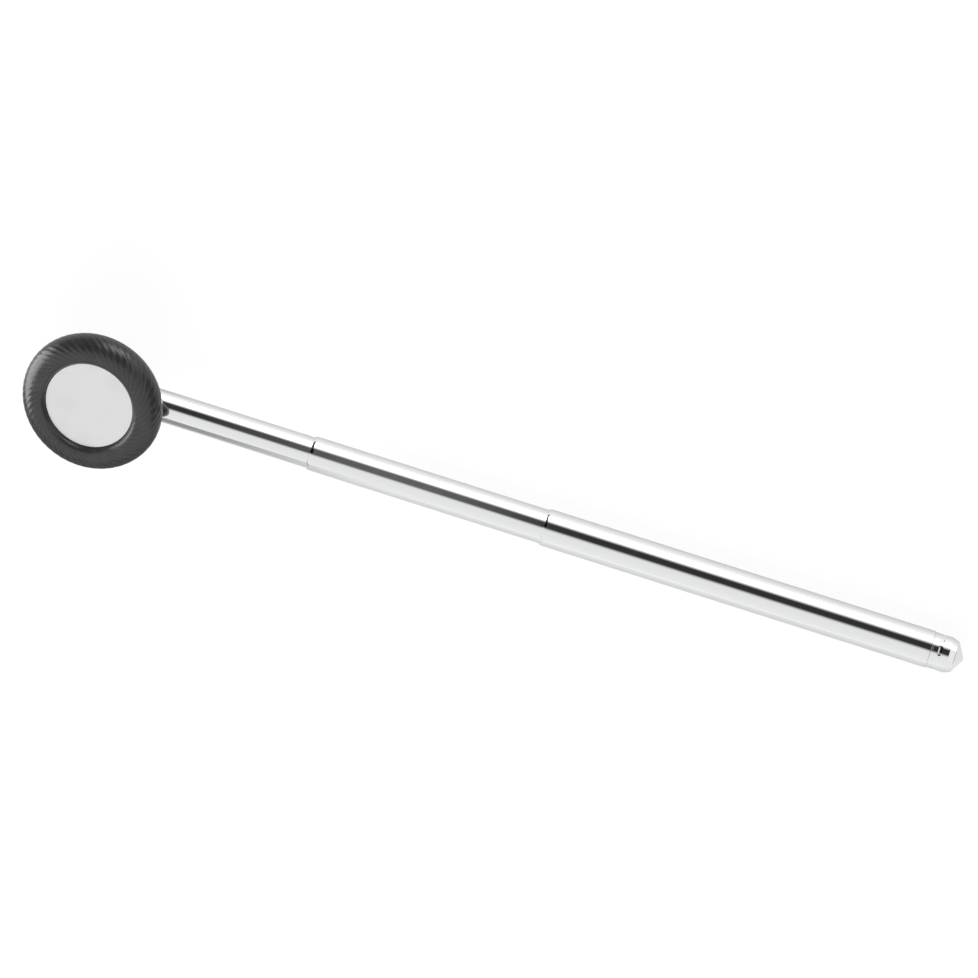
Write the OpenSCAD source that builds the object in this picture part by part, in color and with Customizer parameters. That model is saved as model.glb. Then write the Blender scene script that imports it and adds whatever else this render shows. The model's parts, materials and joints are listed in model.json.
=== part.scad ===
// Telescoping magnetic pickup tool: a magnet head in a rubber ring tilts on a hinge at the tip of
// three nested tubes. It lies on a table, resting on the outer tube and on the ring's back edge.
// X runs along the tubes towards the end cap and Z points up. The origin is on the tubes' axis,
// halfway along the outer tube.

/* [Tubes] */
// Outer diameter of the outer tube
outer_od = 10; // [9:0.1:13]
// Wall of every tube
tube_wall = 0.25; // [0.2:0.01:0.35]
// Radial space between one tube and the next
tube_gap = 0.15; // [0.12:0.01:0.25]
// Length of the outer tube
outer_len = 106; // [95:0.5:130]
// Length of the middle tube
middle_len = 92; // [80:0.5:100]
// Length of the inner tube
inner_len = 81; // [70:0.5:88]
// Length of the rolled-in mouth of a tube
mouth_len = 1; // [0.6:0.1:2]
// Rounding of the mouth's outer edge
mouth_round = 0.3; // [0.1:0.05:0.5]

/* [Reach] */
// Length of the middle tube that shows
middle_out = 64.5; // [20:0.5:84]
// Distance from the middle tube's mouth to the hinge
inner_out = 57.5; // [25:0.5:74]
// Tilt of the head from lying flat along the tubes, in degrees
head_tilt = 4.5; // [0:0.1:25]

/* [End cap] */
// Depth of the cap's plug inside the outer tube
plug_len = 8; // [5:0.5:12]
// Step down from the tube to the cap's band
cap_step = 0.2; // [0.1:0.05:0.5]
// Wall of the cap
cap_wall = 0.4; // [0.3:0.05:0.6]
// Length of the cap's straight band
band_len = 4.9; // [4.5:0.1:8]
// Length of the tapered shoulder
shoulder_len = 1.7; // [0.6:0.1:2.5]
// How far the shoulder tapers in
shoulder_in = 0.6; // [0.2:0.05:1]
// Length of the blunt cone
cone_len = 2.3; // [1.5:0.1:4]
// Diameter of the flat on the cone's point
point_d = 0.8; // [0.4:0.1:2]
// Number of punch marks round the band
mark_count = 8; // [4:1:12]
// Distance of the punch marks from the tube's end
mark_x = 2.4; // [1.5:0.1:3.5]
// Diameter of a punch mark
mark_d = 1; // [0.6:0.1:1.4]
// Depth of a punch mark
mark_depth = 0.25; // [0.1:0.05:0.3]

/* [Magnet head] */
// Diameter of the bright face inside the ring
face_d = 24.1; // [20:0.1:30]
// Height of the face above its flange
face_raise = 0.6; // [0.4:0.1:1]
// Bevel round the face
face_bevel = 0.2; // [0.1:0.05:0.4]
// Thickness of the face plate's flange
flange_t = 0.9; // [0.6:0.1:1.5]
// Width of the flange under the ring's lip
flange_w = 0.9; // [0.6:0.1:1.5]
// Thickness of the magnet
magnet_t = 2.7; // [2:0.1:4]
// Diameter of the hole in the magnet
magnet_hole_d = 6.8; // [6.2:0.1:9]
// Thickness of the spacer ring round the magnet
spacer_t = 0.45; // [0.3:0.05:1]
// Wall of the magnet cup
cup_wall = 1; // [0.7:0.1:1.6]
// Floor of the magnet cup
cup_floor = 1.4; // [1:0.1:2]

/* [Guard ring] */
// Width of the ring beyond the face
ring_w = 7.1; // [5.5:0.1:10]
// Diameter of the ring's round section
ring_section = 9.2; // [8:0.1:11]
// Distance of the section's middle behind the face
ring_set = 2.9; // [2.5:0.1:3.6]
// Thickness of the lip behind the cup
back_lip_t = 0.7; // [0.5:0.1:1]
// How far the lip reaches in behind the cup
back_lip_w = 1.2; // [0.8:0.1:2]
// Rounding of the ring's back edge
back_round = 1; // [0.5:0.1:1.5]
// Rounding of the ring's front lip round the face
lip_round = 2; // [1:0.1:2.2]

/* [Hinge] */
// Gap between the ring's back and the outer tube when the head is folded flat
fold_gap = 0.6; // [0.4:0.1:1.5]
// Thickness of the yoke's strip
yoke_t = 1; // [0.8:0.1:1.2]
// Radius of the round ends of the yoke's ears
ear_r = 3; // [2.5:0.1:3.5]
// Thickness of the tang
tang_t = 3; // [2.4:0.1:3.4]
// Radius of the tang's round end
tang_r = 3.6; // [3:0.1:3.8]
// Diameter of the pivot rivet
pivot_d = 2.5; // [2:0.1:3]
// Diameter of the pivot rivet's heads
pivot_head_d = 4.4; // [3.6:0.1:5.4]
// Height of the pivot rivet's heads
pivot_head_h = 0.8; // [0.5:0.1:1.2]
// Height of each of the two washers
washer_h = 0.4; // [0.3:0.05:0.6]
// Outer diameter of the washers
washer_d = 5.4; // [4.6:0.1:5.8]
// Thickness of the spring washer's sheet
spring_sheet = 0.2; // [0.15:0.05:0.25]
// Diameter of the yoke rivet
rivet_d = 2.2; // [1.6:0.1:2.6]
// Diameter of the yoke rivet's head inside the magnet
rivet_head_d = 5.6; // [4:0.1:5.8]
// Height of the yoke rivet's head
rivet_head_h = 0.9; // [0.6:0.1:1.5]
// Height of the yoke rivet's closed end
rivet_tail_h = 0.6; // [0.4:0.1:0.8]

/* [Tip plug] */
// Distance from the hinge to the end of the inner tube
tip_len = 7; // [6:0.1:10]
// Length of the plug's collar
collar_len = 1.5; // [1:0.1:2]
// Depth of the plug inside the inner tube
shank_len = 10; // [6:0.5:16]
// Bevel on the ends of the plugs and bushes
lead_in = 0.4; // [0.2:0.1:0.8]

/* [Slide stops] */
// Depth of a bush inside its own tube
bush_len = 5; // [3:0.5:8]
// Length of each of a bush's two collars
stop_len = 1.2; // [0.8:0.1:2]
// Wall of a bush
bush_wall = 1; // [0.7:0.1:1.5]
// Length of a friction ring
grip_len = 5; // [3:0.5:8]
// Thickness of a friction ring
grip_t = 0.35; // [0.25:0.05:0.5]
// Width of the slit in a friction ring
slit_w = 1.2; // [0.6:0.1:2]

/* [Clearances] */
// Radial clearance of sliding and turning fits
slide_gap = 0.04; // [0.02:0.01:0.05]
// Radial clearance of seated and pressed pieces
seat_gap = 0.02; // [0.01:0.01:0.04]
// Side clearance in the hinge and in the grooves
side_gap = 0.05; // [0.03:0.01:0.1]
// Clear space between the yoke rivet and the ears
rivet_room = 0.15; // [0.1:0.05:0.3]

/* [Hidden] */
$fn = 96;

// Radii of the tubes, from the outside in
outer_r = outer_od / 2;
outer_bore = outer_r - tube_wall;
middle_r = outer_bore - tube_gap;
middle_bore = middle_r - tube_wall;
inner_r = middle_bore - tube_gap;
inner_bore = inner_r - tube_wall;

// Places along the tubes
outer_mouth = -outer_len / 2;
outer_end = outer_len / 2;
middle_mouth = outer_mouth - middle_out;
middle_end = middle_mouth + middle_len;
pivot_x = middle_mouth - inner_out;
inner_tip = pivot_x + tip_len;
inner_end = inner_tip + inner_len;

// Heights in the head, measured from the hinge towards the face
ring_back = outer_r + fold_gap;
cup_back = ring_back + back_lip_t;
cup_seat = cup_back + cup_floor;
cup_rim = cup_seat + magnet_t;
flange_top = cup_rim + flange_t;
face_top = flange_top + face_raise;
ring_mid = face_top - ring_set;

// Radii in the head
face_r = face_d / 2;
cup_r = face_r + flange_w;
cup_bore = cup_r - cup_wall;
spacer_r = cup_bore - seat_gap;
magnet_r = spacer_r - spacer_t - seat_gap;
section_r = ring_section / 2;
section_x = face_r + ring_w - section_r;

// Centre of the rounding at the ring's back edge, which touches the round section from inside
round_z = ring_back + back_round;
round_x = section_x + sqrt(pow(section_r - back_round, 2) - pow(ring_mid - round_z, 2));

// Centre of the rounding of the front lip, which touches the round section from inside
lip_x = face_r + side_gap + lip_round;
lip_z = ring_mid + sqrt(max(0, pow(section_r - lip_round, 2) - pow(section_x - lip_x, 2)));

// Roll of the head about the tubes at which the ring's back edge and the outer tube share the table
lean = atan2(round_z, round_x) + asin((outer_r - back_round) / norm([round_x, round_z]));
head_roll = acos(cos(lean) / cos(head_tilt));

// Widths in the hinge
hinge_half = tang_t / 2 + washer_h + side_gap;
pivot_r = pivot_d / 2;
rivet_r = rivet_d / 2;
rivet_tail_r = hinge_half - rivet_room;

// Sizes of the end cap and of the punch that stakes it
band_r = outer_r - cap_step;
cap_bore = band_r - cap_wall;
cone_r = band_r - shoulder_in;
punch_r = (mark_d * mark_d / 4 + mark_depth * mark_depth) / (2 * mark_depth);

// Overshoot of a cutting shape
cut = 1;

// Turns a shape made on the Z axis to lie along the tubes, starting at x
module along_tubes(x) {
    translate([x, 0, 0]) rotate([0, 90, 0]) children();
}

// Places a shape on the inner section, with the hinge along Y
module at_hinge() {
    translate([pivot_x, 0, 0]) rotate([head_roll, 0, 0]) children();
}

// Places a shape on the tilted head, with the face towards +Z
module on_head() {
    at_hinge() rotate([0, -head_tilt, 0]) children();
}

// Turns a shape made on the Z axis to lie along the hinge
module along_hinge() {
    rotate([-90, 0, 0]) children();
}

// Tube with its mouth at z = 0, rolled in to the radius of its neighbour
module mouthed_tube(r, length, mouth_r) {
    roll = min(mouth_round, r - mouth_r);
    rotate_extrude() difference() {
        union() {
            translate([r - tube_wall, 0]) square([tube_wall, length]);
            translate([mouth_r, 0]) square([r - mouth_r, mouth_len]);
        }
        difference() {
            translate([r - roll, -cut]) square([roll + cut, cut + roll]);
            translate([r - roll, roll]) circle(roll);
            translate([r - roll - cut, -cut]) square([cut, cut + roll]);
        }
    }
}

// Bush on the tail of a tube: a pressed part below z = 0, then two collars with a groove between
module tail_bush(own_bore, run_bore) {
    press_r = own_bore - seat_gap;
    collar_r = run_bore - slide_gap;
    groove_r = collar_r - grip_t - side_gap;
    groove_len = grip_len + 2 * side_gap;
    rear = 2 * stop_len + groove_len;
    bore = own_bore - bush_wall;
    rotate_extrude() polygon([
        [bore, -bush_len],
        [press_r - lead_in, -bush_len],
        [press_r, lead_in - bush_len],
        [press_r, 0],
        [collar_r, 0],
        [collar_r, stop_len],
        [groove_r, stop_len],
        [groove_r, stop_len + groove_len],
        [collar_r, stop_len + groove_len],
        [collar_r, rear - lead_in],
        [collar_r - lead_in, rear],
        [bore, rear]
    ]);
}

// Split ring in a bush's groove, pressing on the bore that it runs in
module friction_ring(run_bore) {
    ring_r = run_bore - slide_gap;
    translate([0, 0, stop_len + side_gap]) difference() {
        rotate_extrude() translate([ring_r - grip_t, 0]) square([grip_t, grip_len]);
        translate([0, -slit_w / 2, -cut]) cube([ring_r + cut, slit_w, grip_len + 2 * cut]);
    }
}

// Domed rivet head standing on z = 0
module dome(d, h) {
    ball_r = (d * d / 4 + h * h) / (2 * h);
    rotate_extrude() intersection() {
        translate([0, h - ball_r]) circle(ball_r);
        square([d / 2, h]);
    }
}

module guard_ring() {
    color("#2b2b2d") on_head() rotate_extrude() difference() {
        translate([section_x, ring_mid]) circle(section_r);
        // flat back
        translate([0, ring_back - section_r]) square([section_x + section_r, section_r]);
        // rounding of the back edge
        difference() {
            polygon([
                [round_x, round_z],
                [round_x, ring_back - cut],
                [section_x + section_r + cut, ring_back - cut],
                [round_x, round_z] + (section_r + cut) * ring_edge_way()
            ]);
            translate([round_x, round_z]) circle(back_round);
        }
        // rounding of the front lip
        difference() {
            polygon([
                [lip_x, lip_z],
                [lip_x, lip_z] + (section_r + cut) * ring_lip_way(),
                [face_r - cut, lip_z + section_r + cut],
                [face_r - cut, lip_z]
            ]);
            translate([lip_x, lip_z]) circle(lip_round);
        }
        // groove that grips the cup and the face plate's flange
        translate([0, cup_back]) square([cup_r + seat_gap, flange_top - cup_back]);
        // mouth of the front lip
        translate([0, flange_top - cut]) square([face_r + side_gap, section_r + cut]);
        // mouth of the back lip
        translate([0, ring_back - cut]) square([cup_r - back_lip_w, cup_back - ring_back + 2 * cut]);
    }
}

// Directions from the middle of the ring's section to the roundings of its back edge and front lip
function ring_edge_way() = [round_x - section_x, round_z - ring_mid] / (section_r - back_round);
function ring_lip_way() = [lip_x - section_x, lip_z - ring_mid] / (section_r - lip_round);

module face_plate() {
    color("gainsboro") on_head() rotate_extrude() polygon([
        [0, cup_rim],
        [cup_r, cup_rim],
        [cup_r, flange_top],
        [face_r, flange_top],
        [face_r, face_top - face_bevel],
        [face_r - face_bevel, face_top],
        [0, face_top]
    ]);
}

module magnet() {
    hole_r = magnet_hole_d / 2;
    color("dimgray") on_head() rotate_extrude()
        translate([hole_r, cup_seat]) square([magnet_r - hole_r, magnet_t]);
}

module spacer_ring() {
    color("goldenrod") on_head() rotate_extrude()
        translate([spacer_r - spacer_t, cup_seat]) square([spacer_t, magnet_t]);
}

module magnet_cup() {
    color("silver") on_head() rotate_extrude() difference() {
        translate([0, cup_back]) square([cup_r, cup_rim - cup_back]);
        translate([0, cup_seat]) square([cup_bore, magnet_t + cut]);
        translate([0, cup_back - cut]) square([rivet_r + seat_gap, cup_floor + 2 * cut]);
    }
}

// Strip bent into a U, with round ends on its ears
module yoke() {
    outside = hinge_half + yoke_t;
    base = cup_back - yoke_t;
    color("silver") on_head() difference() {
        intersection() {
            rotate([90, 0, 90]) linear_extrude(2 * ear_r, center = true) difference() {
                union() {
                    translate([-outside, -ear_r]) square([2 * outside, base + ear_r]);
                    translate([-hinge_half, base]) square([2 * hinge_half, yoke_t]);
                    for (side = [-1, 1]) translate([side * hinge_half, base]) circle(yoke_t);
                }
                translate([-hinge_half, -ear_r - cut]) square([2 * hinge_half, base + ear_r + cut]);
            }
            rotate([90, 0, 0]) linear_extrude(2 * outside + cut, center = true) union() {
                circle(ear_r);
                translate([-ear_r, 0]) square([2 * ear_r, cup_back]);
            }
        }
        along_hinge() cylinder(h = 2 * outside + cut, r = pivot_r + seat_gap, center = true);
        translate([0, 0, base - cut]) cylinder(h = yoke_t + 2 * cut, r = rivet_r + seat_gap);
    }
}

module yoke_rivet() {
    base = cup_back - yoke_t;
    color("lightgray") on_head() {
        translate([0, 0, base]) cylinder(h = cup_seat - base, r = rivet_r);
        translate([0, 0, cup_seat]) cylinder(h = rivet_head_h, d = rivet_head_d);
        translate([0, 0, base]) mirror([0, 0, 1]) dome(2 * rivet_tail_r, rivet_tail_h);
    }
}

module pivot_rivet() {
    outside = hinge_half + yoke_t;
    color("lightgray") on_head() along_hinge() {
        cylinder(h = 2 * outside, r = pivot_r, center = true);
        for (side = [0, 1]) mirror([0, 0, side]) translate([0, 0, outside])
            dome(pivot_head_d, pivot_head_h);
    }
}

module pivot_washer() {
    hole_r = pivot_r + side_gap;
    color("goldenrod") on_head() along_hinge() mirror([0, 0, 1])
        translate([0, 0, hinge_half - washer_h]) rotate_extrude()
            translate([hole_r, 0]) square([washer_d / 2 - hole_r, washer_h]);
}

// Dished washer, with its inner edge on the ear and its outer edge towards the tang
module pivot_spring_washer() {
    hole_r = pivot_r + side_gap;
    rim_r = washer_d / 2;
    color("darkgray") on_head() along_hinge()
        translate([0, 0, hinge_half - washer_h]) rotate_extrude() polygon([
            [hole_r, washer_h - spring_sheet],
            [rim_r, 0],
            [rim_r, spring_sheet],
            [hole_r, washer_h]
        ]);
}

module tip_plug() {
    press_r = inner_bore - seat_gap;
    shoulder = tip_len - collar_len;
    color("silver") at_hinge() difference() {
        union() {
            along_tubes(shoulder) rotate_extrude() polygon([
                [0, 0],
                [inner_r, 0],
                [inner_r, collar_len],
                [press_r, collar_len],
                [press_r, collar_len + shank_len - lead_in],
                [press_r - lead_in, collar_len + shank_len],
                [0, collar_len + shank_len]
            ]);
            intersection() {
                along_tubes(-tang_r) cylinder(h = tang_r + tip_len, r = inner_r);
                rotate([90, 0, 0]) linear_extrude(tang_t, center = true) union() {
                    circle(tang_r);
                    translate([0, -tang_r]) square([shoulder, 2 * tang_r]);
                }
            }
        }
        along_hinge() cylinder(h = tang_t + cut, r = pivot_r + slide_gap, center = true);
    }
}

module inner_tube() {
    color("whitesmoke") along_tubes(inner_tip) rotate_extrude()
        translate([inner_bore, 0]) square([tube_wall, inner_len]);
}

module inner_tail_bush() {
    color("goldenrod") along_tubes(inner_end) tail_bush(inner_bore, middle_bore);
}

module inner_spring() {
    color("peru") along_tubes(inner_end) friction_ring(middle_bore);
}

module middle_tube() {
    color("whitesmoke") along_tubes(middle_mouth)
        mouthed_tube(middle_r, middle_len, inner_r + slide_gap);
}

module middle_tail_bush() {
    color("goldenrod") along_tubes(middle_end) tail_bush(middle_bore, outer_bore);
}

module middle_spring() {
    color("peru") along_tubes(middle_end) friction_ring(outer_bore);
}

module outer_tube() {
    color("whitesmoke") along_tubes(outer_mouth)
        mouthed_tube(outer_r, outer_len, middle_r + slide_gap);
}

// Drawn cap with a straight band and a blunt cone, staked to the cap plug by punch marks
module end_cap() {
    cone_start = band_len + shoulder_len;
    color("whitesmoke") along_tubes(outer_end) difference() {
        union() {
            rotate_extrude() polygon([
                [cap_bore, 0],
                [band_r, 0],
                [band_r, band_len],
                [cone_r, cone_start],
                [point_d / 2, cone_start + cone_len],
                [0, cone_start + cone_len],
                [0, cone_start],
                [cap_bore, band_len]
            ]);
            intersection() {
                at_punch_marks() sphere(punch_r + cap_wall);
                cylinder(h = band_len, r = band_r);
            }
        }
        at_punch_marks() sphere(punch_r);
    }
}

// Centres of the punch that makes the marks round the cap's band
module at_punch_marks() {
    for (turn = [0 : mark_count - 1]) rotate([0, 0, turn * 360 / mark_count])
        translate([band_r + punch_r - mark_depth, 0, mark_x]) children();
}

// Core of the cap, pressed into the outer tube, with a groove that the punch marks bite into
module cap_plug() {
    press_r = outer_bore - seat_gap;
    core_r = cap_bore - seat_gap;
    groove_r = core_r - mark_depth;
    bite = sqrt(mark_depth * (2 * (punch_r + cap_wall) - mark_depth)) + side_gap;
    color("goldenrod") along_tubes(outer_end) rotate_extrude() polygon([
        [0, -plug_len],
        [press_r - lead_in, -plug_len],
        [press_r, lead_in - plug_len],
        [press_r, 0],
        [core_r, 0],
        [core_r, mark_x - bite],
        [groove_r, mark_x - bite],
        [groove_r, mark_x + bite],
        [core_r, mark_x + bite],
        [core_r, band_len],
        [0, band_len]
    ]);
}

guard_ring();
face_plate();
magnet();
spacer_ring();
magnet_cup();
yoke();
yoke_rivet();
pivot_rivet();
pivot_washer();
pivot_spring_washer();
tip_plug();
inner_tube();
inner_tail_bush();
inner_spring();
middle_tube();
middle_tail_bush();
middle_spring();
outer_tube();
cap_plug();
end_cap();
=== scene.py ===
import json
import math

import bmesh
import bpy
from mathutils import Matrix, Vector


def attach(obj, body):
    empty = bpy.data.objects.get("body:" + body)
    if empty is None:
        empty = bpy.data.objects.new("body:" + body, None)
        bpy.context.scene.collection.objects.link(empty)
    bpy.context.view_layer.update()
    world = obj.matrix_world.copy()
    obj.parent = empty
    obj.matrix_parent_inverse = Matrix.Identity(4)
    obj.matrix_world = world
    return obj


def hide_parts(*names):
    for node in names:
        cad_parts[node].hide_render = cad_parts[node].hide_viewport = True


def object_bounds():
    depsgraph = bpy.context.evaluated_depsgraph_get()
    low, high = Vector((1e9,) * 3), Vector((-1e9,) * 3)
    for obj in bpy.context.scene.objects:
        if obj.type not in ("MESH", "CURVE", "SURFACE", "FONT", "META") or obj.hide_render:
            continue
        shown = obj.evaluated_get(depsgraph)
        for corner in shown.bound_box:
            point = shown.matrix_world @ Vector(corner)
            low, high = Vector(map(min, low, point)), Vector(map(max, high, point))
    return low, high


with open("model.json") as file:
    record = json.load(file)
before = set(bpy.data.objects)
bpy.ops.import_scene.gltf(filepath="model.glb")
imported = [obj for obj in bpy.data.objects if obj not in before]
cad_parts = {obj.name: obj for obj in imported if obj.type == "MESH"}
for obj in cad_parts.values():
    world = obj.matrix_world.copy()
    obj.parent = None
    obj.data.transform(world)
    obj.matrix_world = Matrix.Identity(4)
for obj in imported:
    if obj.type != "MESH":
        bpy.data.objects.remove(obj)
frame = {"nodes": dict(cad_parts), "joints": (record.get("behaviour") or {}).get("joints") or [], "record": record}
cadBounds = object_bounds()
scene = bpy.context.scene
record = frame["record"]
mm = 0.001
print("frame loaded:", len(frame["nodes"]), "nodes")


# axes that the pieces are turned about

def axisMatrix(origin, along, side):
    z = Vector(along).normalized()
    x = Vector(side).cross(z).normalized()  # local Y then points towards side
    m = Matrix((x, z.cross(x), z)).transposed().to_4x4()
    m.translation = Vector(origin)
    return m


def named(rows, name):
    return next(row for row in rows if row["name"] == name)


hinge = named(frame["joints"], "head_tilt")
faceMount = named(record["mounts"], "magnet_face")
pivot = Vector(hinge["pos_m"])
hingeLine = -Vector(hinge["axis"])
tubeAxis = axisMatrix((0, 0, 0), (1, 0, 0), (0, 0, 1))  # heights run from the head to the cap
headAxis = axisMatrix(pivot, faceMount["axis"], hingeLine)  # heights run from the hinge to the face
hingeAxis = axisMatrix(pivot, hingeLine, faceMount["axis"])
inPlace = Matrix.Identity(4)


def reach(node, axis):  # radii and heights of a CAD node about an axis
    local = axis.inverted()
    points = [local @ v.co for v in frame["nodes"][node].data.vertices]
    radii = [p.xy.length for p in points]
    heights = [p.z for p in points]
    return dict(inner=min(radii), outer=max(radii), low=min(heights), high=max(heights))


# mesh helpers, with angles in degrees

weld = 0.001 * mm
creaseAngle = 40  # sharper edges stay crisp
flatAngle = 1  # flatter CAD facets become one face


def arc(centre, radius, start, end, steps):  # points of a round stretch
    turns = [math.radians(start + (end - start) * i / steps) for i in range(steps + 1)]
    return [(centre[0] + radius * math.cos(t), centre[1] + radius * math.sin(t)) for t in turns]


def wayTo(centre, point):
    return math.degrees(math.atan2(point[1] - centre[1], point[0] - centre[0]))


def lathe(profile, steps, closed=True):
    bm = bmesh.new()
    ring = [bm.verts.new((r, 0, h)) for r, h in profile]
    ends = ring[1:] + ring[:1] if closed else ring[1:]
    edges = [bm.edges.new(pair) for pair in zip(ring, ends)]
    bmesh.ops.spin(bm, geom=ring + edges, cent=(0, 0, 0), axis=(0, 0, 1),
                   angle=2 * math.pi, steps=steps, use_merge=True)
    bmesh.ops.remove_doubles(bm, verts=bm.verts, dist=weld)
    bmesh.ops.recalc_face_normals(bm, faces=bm.faces)
    return bm


def cadCopy(node):  # the CAD shape as one closed skin
    bm = bmesh.new()
    bm.from_mesh(frame["nodes"][node].data)
    bmesh.ops.remove_doubles(bm, verts=bm.verts, dist=weld)
    bmesh.ops.dissolve_limit(bm, angle_limit=math.radians(flatAngle), verts=bm.verts, edges=bm.edges)
    bmesh.ops.recalc_face_normals(bm, faces=bm.faces)
    return bm


def soften(bm, width, segments=3, angle=30):
    limit = math.radians(angle)
    sharp = [e for e in bm.edges if e.is_manifold and e.calc_face_angle(0) > limit]
    bmesh.ops.bevel(bm, geom=sharp, offset=width, offset_type="OFFSET", segments=segments,
                    profile=0.5, affect="EDGES", material=-1, clamp_overlap=True)
    return bm


def addPiece(bm, name, axis, material, body, slot, *nodes):
    bmesh.ops.transform(bm, matrix=axis, verts=bm.verts)
    mesh = bpy.data.meshes.new(name)
    bm.to_mesh(mesh)
    bm.free()
    mesh.shade_smooth()
    mesh.set_sharp_from_angle(angle=math.radians(creaseAngle))
    mesh.materials.append(material)
    piece = bpy.data.objects.new(name, mesh)
    scene.collection.objects.link(piece)
    piece.modifiers.new("flatFacing", "WEIGHTED_NORMAL").keep_sharp = True
    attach(piece, body)
    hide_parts(*nodes)
    print("piece:", name, len(mesh.polygons), "faces")
    return piece


# node helpers

def addNode(tree, kind, **values):
    node = tree.nodes.new(kind)
    for key, value in values.items():
        setattr(node, key, value)
    return node


def fill(node, **values):
    for key, value in values.items():
        node.inputs[key.replace("_", " ")].default_value = value
    return node


def maths(tree, operation, a, b=None):
    node = addNode(tree, "ShaderNodeMath", operation=operation)
    for socket, value in zip(node.inputs, (a, b)):
        if isinstance(value, (int, float)):
            socket.default_value = value
        elif value is not None:
            tree.links.new(value, socket)
    return node.outputs[0]


def mixed(tree, share, first, second=None):  # two shaders, the second one black if none is given
    node = addNode(tree, "ShaderNodeMixShader")
    for socket, value in zip(node.inputs, (share, first, second)):
        if value is not None:
            tree.links.new(value, socket)
    return node.outputs[0]


def spread(tree, value, low, high, toLow=0.0, toHigh=1.0, smooth=False):
    node = addNode(tree, "ShaderNodeMapRange")
    node.interpolation_type = "SMOOTHSTEP" if smooth else "LINEAR"
    tree.links.new(value, node.inputs["Value"])
    fill(node, From_Min=low, From_Max=high, To_Min=toLow, To_Max=toHigh)
    return node.outputs[0]


def noise(tree, vector, scale, detail, rough):
    node = fill(addNode(tree, "ShaderNodeTexNoise"), Scale=scale, Detail=detail, Roughness=rough)
    tree.links.new(vector, node.inputs["Vector"])
    return node.outputs[0]


def stretched(tree, vector, scale):
    node = fill(addNode(tree, "ShaderNodeMapping"), Scale=scale)
    tree.links.new(vector, node.inputs["Vector"])
    return node.outputs[0]


def split(tree, vector):  # the X, Y and Z of a vector
    node = addNode(tree, "ShaderNodeSeparateXYZ")
    tree.links.new(vector, node.inputs[0])
    return node.outputs


def ownCoordinates(tree, axis=None):  # object coordinates, or the same measured from an axis
    coords = addNode(tree, "ShaderNodeTexCoord").outputs["Object"]
    if axis is None:
        return coords
    node = addNode(tree, "ShaderNodeMapping", vector_type="TEXTURE")
    fill(node, Location=axis.to_translation(), Rotation=axis.to_euler())
    tree.links.new(coords, node.inputs["Vector"])
    return node.outputs[0]


def newGroup(name, inputs, outputs):
    group = bpy.data.node_groups.new(name, "ShaderNodeTree")
    for label, kind in inputs.items():
        group.interface.new_socket(label, in_out="INPUT", socket_type=kind)
    for label, kind in outputs.items():
        group.interface.new_socket(label, in_out="OUTPUT", socket_type=kind)
    return group, group.nodes.new("NodeGroupInput").outputs, group.nodes.new("NodeGroupOutput").inputs


# shared surface effects; a noise is given by its scale, detail and roughness

handlingLook = dict(smear=(130.0, 4.0, 0.62), smearRange=(0.42, 0.68),
                    hair=(1.0, 2.0, 0.5), hairStretch=(700.0, 9000.0, 5200.0), hairRange=(0.6, 0.72))
turningLook = dict(detail=4.0, rough=0.7)


def makeHandling():  # smears left by hands, and hairlines, both from 0 to 1
    group, given, out = newGroup(
        "handling", {"Vector": "NodeSocketVector"},
        {"Smear": "NodeSocketFloat", "Hairline": "NodeSocketFloat"})
    smear = noise(group, given["Vector"], *handlingLook["smear"])
    group.links.new(spread(group, smear, *handlingLook["smearRange"], smooth=True), out["Smear"])
    long = stretched(group, given["Vector"], handlingLook["hairStretch"])
    hair = noise(group, long, *handlingLook["hair"])
    group.links.new(spread(group, hair, *handlingLook["hairRange"]), out["Hairline"])
    return group


def makeTurning():  # fine rings left by a lathe tool, about the Z axis of the vector
    group, given, out = newGroup(
        "turning", {"Vector": "NodeSocketVector", "Pitch": "NodeSocketFloat"},
        {"Rings": "NodeSocketFloat"})
    x, y, z = split(group, given["Vector"])
    squares = maths(group, "ADD", maths(group, "POWER", x, 2.0), maths(group, "POWER", y, 2.0))
    across = maths(group, "SQRT", squares)
    path = maths(group, "DIVIDE", maths(group, "ADD", across, z), given["Pitch"])
    rings = addNode(group, "ShaderNodeTexNoise", noise_dimensions="1D")
    fill(rings, Scale=1.0, Detail=turningLook["detail"], Roughness=turningLook["rough"])
    group.links.new(path, rings.inputs["W"])
    group.links.new(rings.outputs[0], out["Rings"])
    return group


handling = makeHandling()
turning = makeTurning()


def useGroup(tree, group, **links):
    node = addNode(tree, "ShaderNodeGroup", node_tree=group)
    for label, value in links.items():
        if isinstance(value, (int, float)):
            node.inputs[label].default_value = value
        else:
            tree.links.new(value, node.inputs[label])
    return node.outputs


def newMaterial(name, look):
    material = bpy.data.materials.new(name)
    material.use_nodes = True
    tree = material.node_tree
    shader = tree.nodes["Principled BSDF"]
    fill(shader, Base_Color=(*look["colour"], 1), Metallic=look["metal"], Roughness=look["rough"])
    return material, tree, shader


def tinted(tree, shader, look, mask):  # from the dark tone up to the full colour
    node = addNode(tree, "ShaderNodeMix", data_type="RGBA")
    tree.links.new(mask, node.inputs[0])
    node.inputs[6].default_value = (*look["dark"], 1)  # sockets 6 and 7 are the node's two colours
    node.inputs[7].default_value = (*look["colour"], 1)
    tree.links.new(node.outputs[2], shader.inputs["Base Color"])


def dulled(tree, shader, look, mask, lines=None):  # rougher under the mask, and along fine lines
    rough = spread(tree, mask, *look.get("dullRange", (0, 1)), look["rough"], look["dull"])
    if "lineDull" in look:
        rough = maths(tree, "ADD", rough, maths(tree, "MULTIPLY", lines, look["lineDull"]))
    tree.links.new(rough, shader.inputs["Roughness"])


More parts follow.
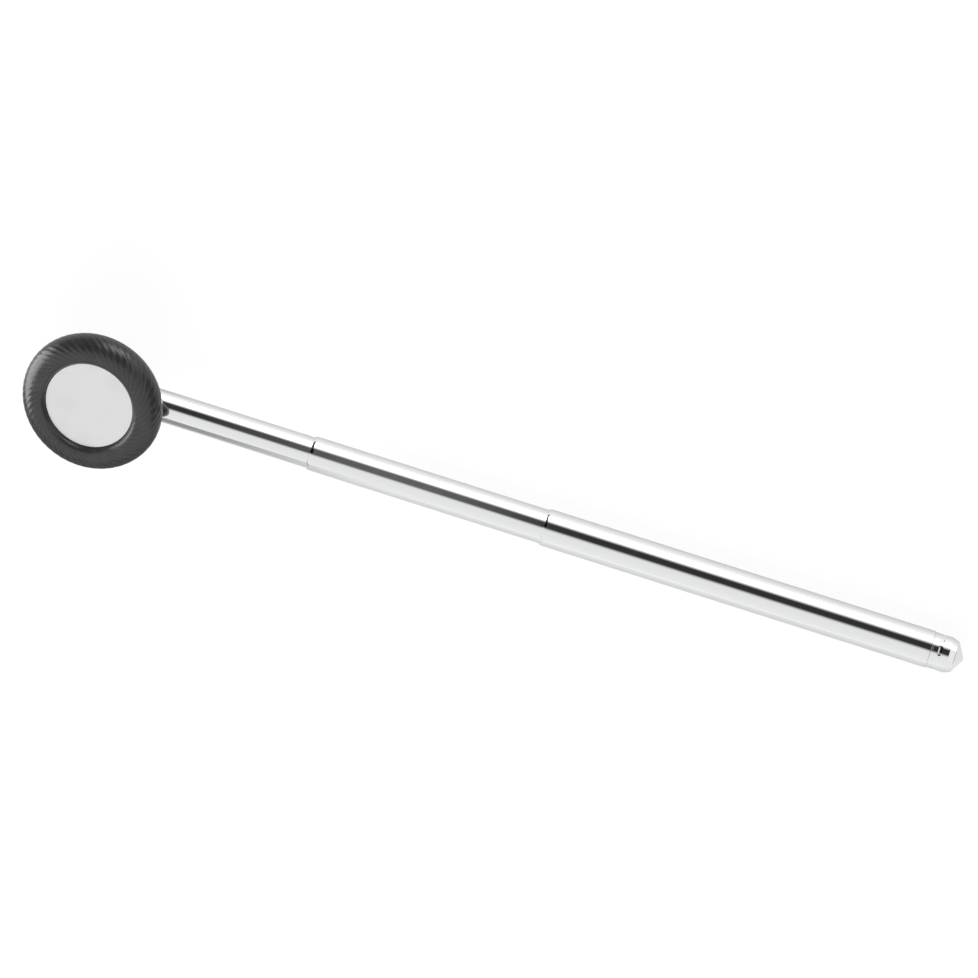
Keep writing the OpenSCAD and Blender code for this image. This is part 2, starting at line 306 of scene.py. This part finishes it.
def bump(tree, shader, height, depth):
    node = fill(addNode(tree, "ShaderNodeBump"), Strength=1.0, Distance=depth)
    tree.links.new(height, node.inputs["Height"])
    tree.links.new(node.outputs[0], shader.inputs["Normal"])


# materials

def brightPlate():
    look = dict(colour=(0.93, 0.935, 0.94), metal=1.0, rough=0.035, dull=0.075, lineDull=0.04,
                drawn=(1.0, 3.0, 0.5), drawnStretch=(9.0, 2600.0, 2600.0), drawnDepth=0.0004 * mm)
    material, tree, shader = newMaterial("brightPlate", look)
    coords = ownCoordinates(tree)
    marks = useGroup(tree, handling, Vector=coords)
    dulled(tree, shader, look, marks["Smear"], marks["Hairline"])
    drawn = noise(tree, stretched(tree, coords, look["drawnStretch"]), *look["drawn"])
    bump(tree, shader, drawn, look["drawnDepth"])
    return material


def ribbedRubber():
    look = dict(colour=(0.04, 0.04, 0.0405), dark=(0.022, 0.022, 0.0225), metal=0.0, rough=0.26, dull=0.36,
                bloom=(160.0, 5.0, 0.6), bloomRange=(0.4, 0.7),
                grain=(5200.0, 3.0, 0.6), grainDepth=0.006 * mm)
    material, tree, shader = newMaterial("ribbedRubber", look)
    coords = ownCoordinates(tree)
    # the ribHeight attribute darkens the colour in the rib grooves as painted shade; the bloom noise is the
    # rubber's own random tone
    paintedGrooveShade = addNode(tree, "ShaderNodeAttribute", attribute_name="ribHeight").outputs["Fac"]
    bloom = spread(tree, noise(tree, coords, *look["bloom"]), *look["bloomRange"], smooth=True)
    pale = maths(tree, "MULTIPLY", maths(tree, "ADD", bloom, paintedGrooveShade), 0.5)  # half from each
    tinted(tree, shader, look, pale)
    dulled(tree, shader, look, bloom)
    bump(tree, shader, noise(tree, coords, *look["grain"]), look["grainDepth"])
    return material


def zincPlate():
    look = dict(colour=(0.7, 0.71, 0.72), dark=(0.55, 0.56, 0.58), metal=1.0, rough=0.28, dull=0.42,
                grain=(2400.0, 4.0, 0.6), grainDepth=0.002 * mm)
    material, tree, shader = newMaterial("zincPlate", look)
    coords = ownCoordinates(tree)
    marks = useGroup(tree, handling, Vector=coords)
    grain = noise(tree, coords, *look["grain"])
    tinted(tree, shader, look, grain)
    dulled(tree, shader, look, marks["Smear"])
    bump(tree, shader, grain, look["grainDepth"])
    return material


def sinteredMagnet():
    look = dict(colour=(0.48, 0.48, 0.49), dark=(0.3, 0.3, 0.31), metal=1.0, rough=0.45, dull=0.6,
                dullRange=(0.3, 0.7), grain=(3000.0, 5.0, 0.65), grainDepth=0.006 * mm)
    material, tree, shader = newMaterial("sinteredMagnet", look)
    grain = noise(tree, ownCoordinates(tree), *look["grain"])
    tinted(tree, shader, look, grain)
    dulled(tree, shader, look, grain)
    bump(tree, shader, grain, look["grainDepth"])
    return material


def turnedMetal(name, look, axis):
    material, tree, shader = newMaterial(name, look)
    coords = ownCoordinates(tree, axis)
    marks = useGroup(tree, handling, Vector=coords)
    rings = useGroup(tree, turning, Vector=coords, Pitch=look["ringPitch"])["Rings"]
    tinted(tree, shader, look, rings)
    dulled(tree, shader, look, marks["Smear"], rings)
    bump(tree, shader, rings, look["ringDepth"])
    return material


satinLook = dict(colour=(0.96, 0.96, 0.955), dark=(0.9, 0.9, 0.895), metal=1.0, rough=0.38, dull=0.46,
                 lineDull=0.05, ringPitch=0.12 * mm, ringDepth=0.0006 * mm)
nickelLook = dict(colour=(0.82, 0.81, 0.79), dark=(0.7, 0.69, 0.67), metal=1.0, rough=0.16, dull=0.28,
                  ringPitch=0.15 * mm, ringDepth=0.001 * mm)
brassLook = dict(colour=(0.8, 0.58, 0.26), dark=(0.64, 0.44, 0.18), metal=1.0, rough=0.22, dull=0.4,
                 ringPitch=0.15 * mm, ringDepth=0.0015 * mm)
bronzeLook = dict(colour=(0.72, 0.45, 0.25), dark=(0.56, 0.34, 0.18), metal=1.0, rough=0.3, dull=0.45,
                  ringPitch=0.3 * mm, ringDepth=0.001 * mm)

plate = brightPlate()
rubber = ribbedRubber()
zinc = zincPlate()
magnetGrey = sinteredMagnet()
satin = turnedMetal("satinFace", satinLook, headAxis)
nickel = turnedMetal("nickelPlug", nickelLook, tubeAxis)
brassHead = turnedMetal("turnedBrassHead", brassLook, headAxis)
brassTube = turnedMetal("turnedBrassTube", brassLook, tubeAxis)
brassHinge = turnedMetal("turnedBrassHinge", brassLook, hingeAxis)
bronzeTube = turnedMetal("springBronzeTube", bronzeLook, tubeAxis)
bronzeHinge = turnedMetal("springBronzeHinge", bronzeLook, hingeAxis)
print("materials made")


# tubes

tubeShape = dict(wall=0.25 * mm, mouthLen=1 * mm, rollIn=0.3 * mm, rollSteps=16, edge=0.05 * mm, steps=224)


def rolledTube(size):  # the mouth is rolled in to run on the next tube
    outer, mouthLen, rollIn = size["outer"], tubeShape["mouthLen"], tubeShape["rollIn"]
    bore = outer - tubeShape["wall"]
    inside = size["low"] + mouthLen
    quarter = arc((0, 0), 1, -90, 0, tubeShape["rollSteps"])
    nose = [(outer - rollIn * (1 - r), inside + mouthLen * h) for r, h in quarter]
    return [(size["inner"], size["low"]), *nose, (outer, size["high"]),
            (bore, size["high"]), (bore, inside), (size["inner"], inside)]


def plainRing(size):  # a straight tube or a flat washer
    return [(size["inner"], size["low"]), (size["outer"], size["low"]),
            (size["outer"], size["high"]), (size["inner"], size["high"])]


tubes = [("outerTube", "outer_tube", "handle", rolledTube),
         ("middleTube", "middle_tube", "middle_section", rolledTube),
         ("innerTube", "inner_tube", "inner_section", plainRing)]
for name, node, body, outline in tubes:
    shell = lathe(outline(reach(node, tubeAxis)), tubeShape["steps"])
    addPiece(soften(shell, tubeShape["edge"]), name, tubeAxis, plate, body, "tube_plate", node)


# end cap

capShape = dict(wall=0.4 * mm, bandLen=4.9 * mm, shoulderLen=1.7 * mm, shoulderIn=0.6 * mm, pointR=0.4 * mm,
                lip=0.15 * mm, lipSteps=6, edge=0.12 * mm, edgeSteps=4, edgeAngle=16, steps=384)
markShape = dict(count=8, place=2.4 * mm, halfLen=0.7 * mm, level=0.8 * mm, halfTurn=1.5 * mm,
                 depth=0.1 * mm, rows=18)


def endCap():
    size = reach("end_cap", tubeAxis)
    low, bandR = size["low"], size["outer"]
    bandEnd = low + capShape["bandLen"]
    coneStart = bandEnd + capShape["shoulderLen"]
    coneR = bandR - capShape["shoulderIn"]
    boreR = bandR - capShape["wall"]
    lipR = capShape["lip"]
    lip = arc((bandR - lipR, low + lipR), lipR, -90, 0, capShape["lipSteps"])
    markH, rows = low + markShape["place"], markShape["rows"]
    markRows = [(bandR, markH + markShape["halfLen"] * (2 * i / rows - 1)) for i in range(rows + 1)]
    bm = lathe([(0, coneStart), (boreR, bandEnd), (boreR, low), *lip, *markRows, (bandR, bandEnd),
                (coneR, coneStart), (capShape["pointR"], size["high"]), (0, size["high"])],
               capShape["steps"], closed=False)
    soften(bm, capShape["edge"], capShape["edgeSteps"], capShape["edgeAngle"])
    punchMarks(bm, markH, bandR)
    return bm


def punchMarks(bm, height, bandR):  # soft dents that stake the cap, one of them on top
    step = 2 * math.pi / markShape["count"]
    for v in bm.verts:
        turn = math.atan2(v.co.y, v.co.x)
        aside = abs((turn + step / 2) % step - step / 2) * bandR
        ends = max(0, aside - markShape["level"]) / (markShape["halfTurn"] - markShape["level"])
        away = math.hypot(ends, (v.co.z - height) / markShape["halfLen"])
        if away < 1 and v.co.xy.length > bandR - capShape["wall"] / 2:
            v.co.xy *= 1 - markShape["depth"] * (1 + math.cos(math.pi * away)) / 2 / bandR


addPiece(endCap(), "endCap", tubeAxis, plate, "handle", "tube_plate", "end_cap")


# magnet face and cup

plateShape = dict(flangeT=0.9 * mm, flangeW=0.9 * mm, bevel=0.1 * mm, edge=0.04 * mm, edgeAngle=20, steps=256)
cupShape = dict(wall=1 * mm, floor=1.4 * mm, edge=0.12 * mm, steps=192)


def faceRadius(plateSize):
    return plateSize["outer"] - plateShape["flangeW"]


def facePlate():
    size = reach("face_plate", headAxis)
    faceR, bevel = faceRadius(size), plateShape["bevel"]
    flangeTop = size["low"] + plateShape["flangeT"]
    bm = lathe([(0, size["low"]), (size["outer"], size["low"]), (size["outer"], flangeTop),
                (faceR, flangeTop), (faceR, size["high"] - bevel), (faceR - bevel, size["high"]),
                (0, size["high"])], plateShape["steps"], closed=False)
    return soften(bm, plateShape["edge"], angle=plateShape["edgeAngle"])


def magnetCup():
    size = reach("magnet_cup", headAxis)
    bore = size["outer"] - cupShape["wall"]
    seat = size["low"] + cupShape["floor"]
    bm = lathe([(size["inner"], size["low"]), (size["outer"], size["low"]), (size["outer"], size["high"]),
                (bore, size["high"]), (bore, seat), (size["inner"], seat)], cupShape["steps"])
    return soften(bm, cupShape["edge"])


# guard ring; ribSpan and ribFade are radians round its section

ringShape = dict(sectionR=4.6 * mm, arcSteps=64, backRound=1 * mm, backSteps=6, lipRound=2 * mm, lipSteps=20,
                 lipGap=0.05 * mm, seatGap=0.02 * mm, backLipW=1.2 * mm, touch=0.01 * mm,
                 ribs=54, stepsPerRib=13, ribDepth=0.06 * mm, ribLean=0.29, ribSpan=(-0.6, 2.2),
                 ribFade=(0.35, 0.5))


def ringOutline(ring, plateSize, cup):  # the section's outline, and the two rounds that carry the ribs
    r, backR, lipR = ringShape["sectionR"], ringShape["backRound"], ringShape["lipRound"]
    centre = (ring["outer"] - r, ring["high"] - r)
    backH = ring["low"] + backR
    back = (centre[0] + math.sqrt((r - backR) ** 2 - (centre[1] - backH) ** 2), backH)
    mouth = faceRadius(plateSize) + ringShape["lipGap"]
    lip = (mouth + lipR, centre[1] + math.sqrt((r - lipR) ** 2 - (mouth + lipR - centre[0]) ** 2))
    seat = cup["outer"] + ringShape["seatGap"]
    backMouth = cup["outer"] - ringShape["backLipW"]
    flangeTop = plateSize["low"] + plateShape["flangeT"]
    start, end = wayTo(centre, back), wayTo(centre, lip)
    outside = [*arc(back, backR, -90, start, ringShape["backSteps"])[:-1],
               *arc(centre, r, start, end, ringShape["arcSteps"]),
               *arc(lip, lipR, end, 180, ringShape["lipSteps"])[1:]]
    outline = [(backMouth, cup["low"]), (backMouth, ring["low"]), *outside,
               (mouth, flangeTop), (seat, flangeTop), (seat, cup["low"])]
    return outline, ((centre, r), (lip, lipR))


def cutRibs(bm, rounds):  # ribs lean across the section and fade out towards the back and the mouth
    (first, last), (fadeIn, fadeOut) = ringShape["ribSpan"], ringShape["ribFade"]
    # ribHeight falls in the grooves; the rubber material also uses it to paint shade there
    layer = bm.verts.layers.float.new("ribHeight")
    for v in bm.verts:
        v[layer] = 1
        around, place = math.atan2(v.co.y, v.co.x), (v.co.xy.length, v.co.z)
        for centre, radius in rounds:
            across = math.radians(wayTo(centre, place))
            fade = min(1, (across - first) / fadeIn, (last - across) / fadeOut)
            if fade > 0 and abs(math.dist(place, centre) - radius) < ringShape["touch"]:
                phase = ringShape["ribs"] * (around + ringShape["ribLean"] * across)
                v[layer] = 1 - fade * (1 - math.cos(phase)) / 2
                out = math.cos(across)
                outward = Vector((math.cos(around) * out, math.sin(around) * out, math.sin(across)))
                v.co -= ringShape["ribDepth"] * (1 - v[layer]) * outward
                break


def guardRing():
    outline, rounds = ringOutline(*(reach(n, headAxis) for n in ("guard_ring", "face_plate", "magnet_cup")))
    bm = lathe(outline, ringShape["ribs"] * ringShape["stepsPerRib"])
    cutRibs(bm, rounds)
    return bm


ringPiece = addPiece(guardRing(), "guardRing", headAxis, rubber, "head", "ring_rubber", "guard_ring")
addPiece(facePlate(), "facePlate", headAxis, satin, "head", "face_metal", "face_plate")
addPiece(magnetCup(), "magnetCup", headAxis, zinc, "head", "zinc_steel", "magnet_cup")


# hinge

rivetShape = dict(shankR=1.1 * mm, headH=0.9 * mm, tailR=1.8 * mm, tailH=0.6 * mm, edge=0.1 * mm, steps=96)
pinShape = dict(shankR=1.25 * mm, headH=0.8 * mm, edge=0.06 * mm, steps=96)
washerShape = dict(sheet=0.2 * mm, edge=0.05 * mm, steps=96)
yokeShape = dict(edge=0.14 * mm)
tipShape = dict(edge=0.16 * mm)
domeSteps = 10


def dome(width, height, top):  # from the rim up to the crown, which lies at top
    ball = (width ** 2 + height ** 2) / (2 * height)
    rim = math.degrees(math.asin((ball - height) / ball))
    return arc((0, top - ball), ball, rim, 90, domeSteps)


def yokeRivet():
    size = reach("yoke_rivet", headAxis)
    tailH, headH = size["low"] + rivetShape["tailH"], size["high"] - rivetShape["headH"]
    crown = dome(rivetShape["tailR"], rivetShape["tailH"], size["low"])
    tail = [(r, 2 * size["low"] - h) for r, h in reversed(crown)]
    bm = lathe([*tail, (rivetShape["shankR"], tailH), (rivetShape["shankR"], headH),
                (size["outer"], headH), (size["outer"], size["high"]), (0, size["high"])],
               rivetShape["steps"], closed=False)
    return soften(bm, rivetShape["edge"])


def pivotRivet():
    size = reach("pivot_rivet", hingeAxis)
    crown = dome(size["outer"], pinShape["headH"], size["high"])
    half = [(pinShape["shankR"], size["high"] - pinShape["headH"]), *crown]
    otherHalf = [(r, -h) for r, h in reversed(half)]
    return soften(lathe([*otherHalf, *half], pinShape["steps"], closed=False), pinShape["edge"])


def flatWasher():
    outline = plainRing(reach("pivot_washer", hingeAxis))
    return soften(lathe(outline, washerShape["steps"]), washerShape["edge"])


def dishedWasher():  # its inner edge stands on the ear
    size = reach("pivot_spring_washer", hingeAxis)
    sheet = washerShape["sheet"]
    outline = [(size["inner"], size["high"] - sheet), (size["outer"], size["low"]),
               (size["outer"], size["low"] + sheet), (size["inner"], size["high"])]
    return soften(lathe(outline, washerShape["steps"]), washerShape["edge"])


def yoke():
    return soften(cadCopy("yoke"), yokeShape["edge"])


def tipPlug():
    return soften(cadCopy("tip_plug"), tipShape["edge"])


addPiece(yokeRivet(), "yokeRivet", headAxis, zinc, "head", "zinc_steel", "yoke_rivet")
addPiece(pivotRivet(), "pivotRivet", hingeAxis, zinc, "head", "zinc_steel", "pivot_rivet")
addPiece(flatWasher(), "pivotWasher", hingeAxis, brassHinge, "head", "brass", "pivot_washer")
addPiece(dishedWasher(), "pivotSpringWasher", hingeAxis, bronzeHinge, "head", "spring_metal",
         "pivot_spring_washer")
addPiece(yoke(), "yoke", inPlace, zinc, "head", "zinc_steel", "yoke")
addPiece(tipPlug(), "tipPlug", inPlace, nickel, "inner_section", "plug_metal", "tip_plug")


# pieces inside that keep their CAD shape

def dress(node, material):
    mesh = frame["nodes"][node].data
    mesh.materials.clear()
    mesh.materials.append(material)


for node, material in (("magnet", magnetGrey), ("spacer_ring", brassHead), ("inner_tail_bush", brassTube),
                       ("middle_tail_bush", brassTube), ("cap_plug", brassTube), ("inner_spring", bronzeTube),
                       ("middle_spring", bronzeTube)):
    dress(node, material)
print("CAD pieces dressed")


# floor, with a clear patch and a lower sheet where the head swings down past the table top

# the head shade and the paler glow away from the tool are painted light, seen by glossy rays only
floorLook = dict(size=6.0, colour=0.86, glow=1.11, glowShare=0.78, mirrored=(0.1, 0.5),
                 paintedPaleAway=(0.012, 0.12), headShade=0.62, shadeAlong=(-0.158, -0.097),
                 shadeAcross=(-0.006, -0.014), drop=0.0155,
                 patchPlace=(-0.203, 0, 0), patchReach=(0.12, 0.09, 1), patchEdge=0.3)


def clearPatch(tree, coords):  # 1 round the head, down to 0 at the patch's edge
    patch = addNode(tree, "ShaderNodeMapping", vector_type="TEXTURE")
    fill(patch, Location=floorLook["patchPlace"], Scale=floorLook["patchReach"])
    tree.links.new(coords, patch.inputs["Vector"])
    ball = addNode(tree, "ShaderNodeTexGradient", gradient_type="SPHERICAL")
    tree.links.new(patch.outputs[0], ball.inputs["Vector"])
    return spread(tree, ball.outputs["Fac"], 0, floorLook["patchEdge"], smooth=True)


def floorMaterial(name, patched):
    material = bpy.data.materials.new(name)
    material.use_nodes = True
    tree = material.node_tree
    tree.nodes.clear()
    coords = ownCoordinates(tree)
    along, across, _ = split(tree, coords)
    path = addNode(tree, "ShaderNodeLightPath").outputs
    camera, glossy = path["Is Camera Ray"], path["Is Glossy Ray"]
    paper = fill(addNode(tree, "ShaderNodeBsdfDiffuse"), Color=(*[floorLook["colour"]] * 3, 1))
    glow = fill(addNode(tree, "ShaderNodeEmission"), Strength=floorLook["glow"])
    seen = maths(tree, "MAXIMUM", camera, path["Is Transmission Ray"])
    # painted light: for glossy rays the floor glows paler away from the tool, so metal mirrors it darker close by
    away = maths(tree, "ABSOLUTE", across)  # metal shows the floor paler away from the tool
    pale = spread(tree, away, *floorLook["paintedPaleAway"], *floorLook["mirrored"], smooth=True)
    share = maths(tree, "MAXIMUM", maths(tree, "MULTIPLY", seen, floorLook["glowShare"]),
                  maths(tree, "MULTIPLY", glossy, pale))
    surface = mixed(tree, share, paper.outputs[0], glow.outputs[0])
    # painted shadow of the head: for glossy rays only, the floor turns darker in front of the head
    nearHead = spread(tree, along, *floorLook["shadeAlong"], floorLook["headShade"], 0, smooth=True)
    inFront = spread(tree, across, *floorLook["shadeAcross"], smooth=True)
    shade = maths(tree, "MULTIPLY", maths(tree, "MULTIPLY", nearHead, inFront), glossy)
    surface = mixed(tree, shade, surface)  # the inner tube mirrors a darker floor in front of the head
    clear = addNode(tree, "ShaderNodeNewGeometry").outputs["Backfacing"]  # nothing is hidden from below
    if patched:
        clear = maths(tree, "MAXIMUM", clear, maths(tree, "MULTIPLY", clearPatch(tree, coords), camera))
    surface = mixed(tree, clear, surface, addNode(tree, "ShaderNodeBsdfTransparent").outputs[0])
    tree.links.new(surface, addNode(tree, "ShaderNodeOutputMaterial").inputs["Surface"])
    return material


def makeFloor(name, height, patched):
    bm = bmesh.new()
    bmesh.ops.create_grid(bm, x_segments=1, y_segments=1, size=floorLook["size"] / 2)
    bmesh.ops.translate(bm, vec=(0, 0, height), verts=bm.verts)
    mesh = bpy.data.meshes.new(name)
    bm.to_mesh(mesh)
    bm.free()
    mesh.materials.append(floorMaterial(name, patched))
    floor = bpy.data.objects.new(name, mesh)
    floor.visible_shadow = floor.visible_diffuse = not patched  # light reaches the head below the table top
    scene.collection.objects.link(floor)


makeFloor("tableTop", cadBounds[0].z, True)
makeFloor("lowSheet", cadBounds[0].z - floorLook["drop"], False)
print("floor laid")


# studio: a white card on one side, a grey one on the other, a dark gap overhead, a dark end and a dark corner
# limits are the X of a unit direction, or its Y for cornerSide

studioLook = dict(gapEnd=(0.2, 0.5), open=0.85, end=(0.74, 0.86), corner=(-0.14, -0.34),
                  cornerSide=(-0.12, 0.02), shade=0.08, glint=(-0.125, -0.064, -0.03), glintLevel=0.13,
                  cards=((-90, 0.87), (-40, 0.82), (-23, 0.8), (-3, 0.03), (22, 0.03), (43, 1.08), (72, 1.08),
                         (90, 0.93)))  # angle from overhead towards +Y, brightness


def sideCards(tree, across, up):
    side = maths(tree, "ARCTAN2", across, up)
    node = addNode(tree, "ShaderNodeValToRGB")
    node.color_ramp.interpolation = "EASE"
    tree.links.new(spread(tree, side, -math.pi / 2, math.pi / 2), node.inputs[0])
    stops = node.color_ramp.elements
    for _ in studioLook["cards"][2:]:  # a new ramp has two stops
        stops.new(0.5)
    for stop, (angle, level) in zip(stops, studioLook["cards"]):
        stop.position = (angle + 90) / 180
        stop.color = (level, level, level, 1)
    return node.outputs[0]


def makeStudio():
    world = bpy.data.worlds.new("studio")
    scene.world = world
    world.use_nodes = True
    tree = world.node_tree
    shader = fill(tree.nodes["Background"], Color=(1, 1, 1, 1))
    along, across, up = split(tree, addNode(tree, "ShaderNodeTexCoord").outputs["Generated"])
    cards = sideCards(tree, across, up)
    pastGap = spread(tree, along, *studioLook["gapEnd"], 0, studioLook["open"], smooth=True)
    start, peak, stop = studioLook["glint"]  # a weak light inside the gap
    rise = spread(tree, along, start, peak, 0, studioLook["glintLevel"], smooth=True)
    glint = maths(tree, "MULTIPLY", rise, spread(tree, along, stop, peak, smooth=True))
    end = spread(tree, along, *studioLook["end"], 1, studioLook["shade"], smooth=True)
    cornerAlong = spread(tree, along, *studioLook["corner"], 1, studioLook["shade"], smooth=True)
    cornerAcross = spread(tree, across, *studioLook["cornerSide"], 1, 0, smooth=True)
    corner = maths(tree, "MAXIMUM", cornerAlong, cornerAcross)
    lit = maths(tree, "MAXIMUM", maths(tree, "MAXIMUM", cards, pastGap), glint)
    lit = maths(tree, "MULTIPLY", lit, maths(tree, "MULTIPLY", end, corner))
    camera = addNode(tree, "ShaderNodeLightPath").outputs["Is Camera Ray"]
    tree.links.new(maths(tree, "MAXIMUM", lit, camera), shader.inputs["Strength"])


makeStudio()

lampAim = (-0.07, 0, 0)
lamps = [dict(name="keyCard", shape="RECTANGLE", size=(0.32, 0.37), watts=1.1, mirrored=True,
              place=(-0.1, 0.55, 0.35), aim=lampAim),
         dict(name="fillCard", shape="RECTANGLE", size=(0.4, 0.7), watts=2.6, mirrored=False,
              place=(-0.1, -0.6, 0.45), aim=lampAim),
         dict(name="rimCard", shape="ELLIPSE", size=(0.12, 0.24), watts=0.32, mirrored=True,
              place=(-0.318, -0.038, 0.048), aim=(-0.227, -0.014, 0.225), only=ringPiece)]


def softBox(lamp):
    light = bpy.data.lights.new(lamp["name"], "AREA")
    light.shape = lamp["shape"]
    light.size, light.size_y = lamp["size"]
    light.energy = lamp["watts"]
    holder = bpy.data.objects.new(lamp["name"], light)
    holder.matrix_world = axisMatrix(lamp["place"], Vector(lamp["place"]) - Vector(lamp["aim"]), (0, 0, 1))
    holder.visible_camera = False
    holder.visible_glossy = lamp["mirrored"]
    if "only" in lamp:  # keeps the lamp's glints off the bright tubes
        lit = bpy.data.collections.new(lamp["name"] + "Lit")
        lit.objects.link(lamp["only"])
        holder.light_linking.receiver_collection = lit
    scene.collection.objects.link(holder)


for lamp in lamps:
    softBox(lamp)
print("studio lit")


# camera, with angles in degrees

cameraShape = dict(distance=1.5, lean=3.0529, tip=3.9422, turn=17.5968, target=(-0.069912, 0.005087, 0),
                   frame=978, pixel=0.26271 * mm, clip=(0.01, 20))


def makeCamera():
    lean, tip, turn = (math.radians(cameraShape[key]) for key in ("lean", "tip", "turn"))
    back = Vector((math.sin(lean), -math.sin(tip) * math.cos(lean), math.cos(tip) * math.cos(lean)))
    level = Vector((0, math.cos(tip), math.sin(tip)))
    right = math.cos(turn) * level.cross(back) + math.sin(turn) * level
    lens = bpy.data.cameras.new("camera")
    lens.lens = lens.sensor_width * cameraShape["distance"] / (cameraShape["frame"] * cameraShape["pixel"])
    lens.clip_start, lens.clip_end = cameraShape["clip"]
    camera = bpy.data.objects.new("camera", lens)
    camera.matrix_world = Matrix((right, back.cross(right), back)).transposed().to_4x4()
    camera.location = Vector(cameraShape["target"]) + back * cameraShape["distance"]
    scene.collection.objects.link(camera)
    scene.camera = camera


makeCamera()
scene.view_settings.view_transform = "Standard"
print("camera set")
